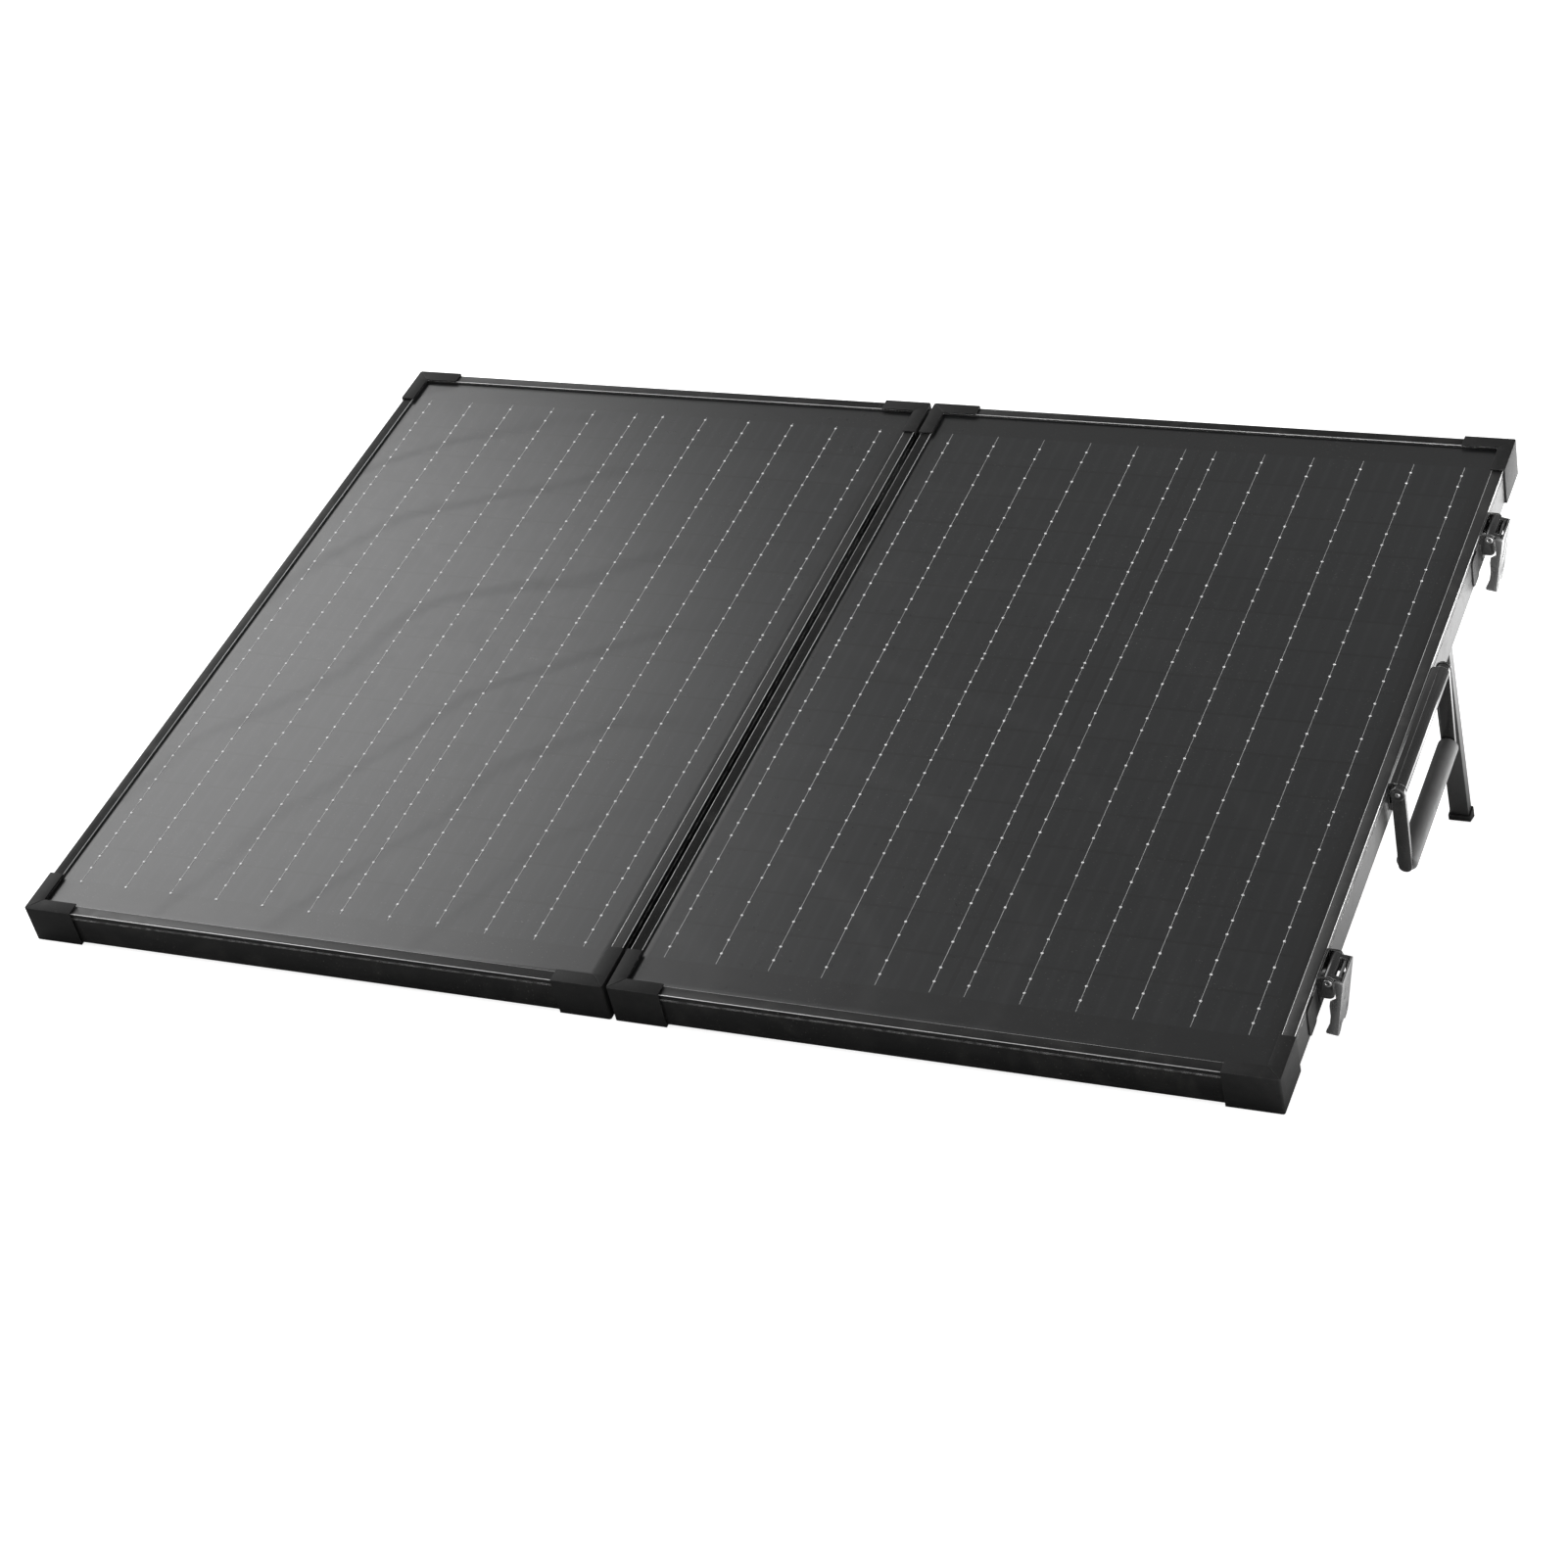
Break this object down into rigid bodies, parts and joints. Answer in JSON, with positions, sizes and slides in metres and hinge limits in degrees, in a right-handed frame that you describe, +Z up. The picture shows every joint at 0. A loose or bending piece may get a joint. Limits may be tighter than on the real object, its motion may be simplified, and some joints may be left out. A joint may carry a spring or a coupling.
{
  "type": "folding solar suitcase kit",
  "caption": "Rigid two-panel folding solar suitcase, opened flat and tilted on folding legs, with corner guards, draw latches and a carrying handle.",
  "frame": {"origin": "middle of the open kit's bounding box in plan, on the ground that the front guards and the feet stand on", "axes": "+X across the two panels towards the handle side, +Y from the low front edge to the raised back edge, +Z up"},
  "size_m": [0.9429, 0.633, 0.2648],
  "materials": {
    "black_anodised": "black anodised, fine brushed",
    "solar_glass": "textured solar glass over dark cells",
    "backsheet_white": "satin white film",
    "guard_plastic": "moulded black",
    "hinge_steel": "black plated",
    "leg_aluminium": "black anodised",
    "foot_rubber": "matt",
    "knob_plastic": "moulded black",
    "handle_plastic": "semi-gloss moulded",
    "grip_rubber": "matt",
    "latch_steel": "black plated, worn bright on edges",
    "rivet_steel": "bright",
    "box_plastic": "moulded black",
    "controller_face": "satin"
  },
  "bodies": {
    "right_panel": {"right_front_rail": "black_anodised", "right_back_rail": "black_anodised", "right_outer_rail": "black_anodised", "right_inner_rail": "black_anodised", "right_glass": "solar_glass", "right_backsheet": "backsheet_white", "right_front_inner_guard": "guard_plastic", "right_front_outer_guard": "guard_plastic", "right_back_outer_guard": "guard_plastic", "right_back_inner_guard": "guard_plastic", "right_leg_bracket": "hinge_steel", "right_junction_box": "box_plastic", "right_junction_box_lid": "box_plastic", "right_junction_box_gland": "box_plastic", "front_hinge_right_leaf": "hinge_steel", "back_hinge_right_leaf": "hinge_steel", "front_hinge_pin": "hinge_steel", "back_hinge_pin": "hinge_steel", "handle_base": "handle_plastic", "handle_front_pivot_pin": "handle_plastic", "handle_back_pivot_pin": "handle_plastic", "front_latch_base": "latch_steel", "back_latch_base": "latch_steel", "front_latch_rivet": "rivet_steel", "back_latch_rivet": "rivet_steel", "controller_cradle": "hinge_steel", "controller_case": "box_plastic", "controller_face": "controller_face", "controller_gland": "box_plastic"},
    "left_panel": {"left_front_rail": "black_anodised", "left_back_rail": "black_anodised", "left_outer_rail": "black_anodised", "left_inner_rail": "black_anodised", "left_glass": "solar_glass", "left_backsheet": "backsheet_white", "left_front_inner_guard": "guard_plastic", "left_front_outer_guard": "guard_plastic", "left_back_outer_guard": "guard_plastic", "left_back_inner_guard": "guard_plastic", "left_leg_bracket": "hinge_steel", "left_junction_box": "box_plastic", "left_junction_box_lid": "box_plastic", "left_junction_box_gland": "box_plastic", "front_hinge_left_leaf": "hinge_steel", "back_hinge_left_leaf": "hinge_steel", "front_latch_keeper": "latch_steel", "back_latch_keeper": "latch_steel"},
    "right_leg": {"right_leg": "leg_aluminium", "right_leg_foot": "foot_rubber"},
    "left_leg": {"left_leg": "leg_aluminium", "left_leg_foot": "foot_rubber"},
    "right_thumb_screw": {"right_leg_thumb_screw": "knob_plastic"},
    "left_thumb_screw": {"left_leg_thumb_screw": "knob_plastic"},
    "handle": {"handle_bail": "handle_plastic", "handle_grip": "grip_rubber"},
    "front_latch_link": {"front_latch_link": "latch_steel"},
    "front_latch_lever": {"front_latch_lever": "latch_steel"},
    "back_latch_link": {"back_latch_link": "latch_steel"},
    "back_latch_lever": {"back_latch_lever": "latch_steel"},
    "button": {"controller_button": "knob_plastic"}
  },
  "joints": [
    {"name": "fold", "type": "hinge", "parent": "right_panel", "child": "left_panel", "pos_m": [-0.00585, 0.00559, 0.11778], "axis": [0, -0.9348, -0.3551], "range_deg": [0, 180]},
    {"name": "right_leg_swing", "type": "hinge", "parent": "right_panel", "child": "right_leg", "pos_m": [0.44335, 0.12326, 0.17692], "axis": [-1, 0, 0], "range_deg": [0, 95]},
    {"name": "left_leg_swing", "type": "hinge", "parent": "left_panel", "child": "left_leg", "pos_m": [-0.45505, 0.12326, 0.17692], "axis": [-1, 0, 0], "range_deg": [0, 95]},
    {"name": "right_thumb_screw_turn", "type": "hinge", "parent": "right_panel", "child": "right_thumb_screw", "pos_m": [0.44335, 0.12326, 0.17692], "axis": [1, 0, 0], "continuous": true},
    {"name": "left_thumb_screw_turn", "type": "hinge", "parent": "left_panel", "child": "left_thumb_screw", "pos_m": [-0.45505, 0.12326, 0.17692], "axis": [-1, 0, 0], "continuous": true},
    {"name": "handle_swing", "type": "hinge", "parent": "right_panel", "child": "handle", "pos_m": [0.46235, -0.00061, 0.14538], "axis": [0, -0.9348, -0.3551], "range_deg": [0, 180]},
    {"name": "front_latch_link_swing", "type": "hinge", "parent": "right_panel", "child": "front_latch_link", "pos_m": [0.46135, -0.21832, 0.06236], "axis": [0, -0.9348, -0.3551], "range_deg": [0, 70]},
    {"name": "front_latch_lever_swing", "type": "hinge", "parent": "front_latch_link", "child": "front_latch_lever", "pos_m": [0.46755, -0.21811, 0.0618], "axis": [0, -0.9348, -0.3551], "range_deg": [0, 75]},
    {"name": "back_latch_link_swing", "type": "hinge", "parent": "right_panel", "child": "back_latch_link", "pos_m": [0.46135, 0.20983, 0.225], "axis": [0, -0.9348, -0.3551], "range_deg": [0, 70]},
    {"name": "back_latch_lever_swing", "type": "hinge", "parent": "back_latch_link", "child": "back_latch_lever", "pos_m": [0.46755, 0.21004, 0.22444], "axis": [0, -0.9348, -0.3551], "range_deg": [0, 75]},
    {"name": "button_press", "type": "slide", "parent": "right_panel", "child": "button", "axis": [0, -0.3551, 0.9348], "range_m": [0, 0.001], "stiffness_N_per_m": 300, "springref_m": -0.0005}
  ],
  "couplings": [
    {"joint": "right_leg_swing", "follows": "fold", "ratio": 0.52778},
    {"joint": "left_leg_swing", "follows": "fold", "ratio": 0.52778}
  ]
}
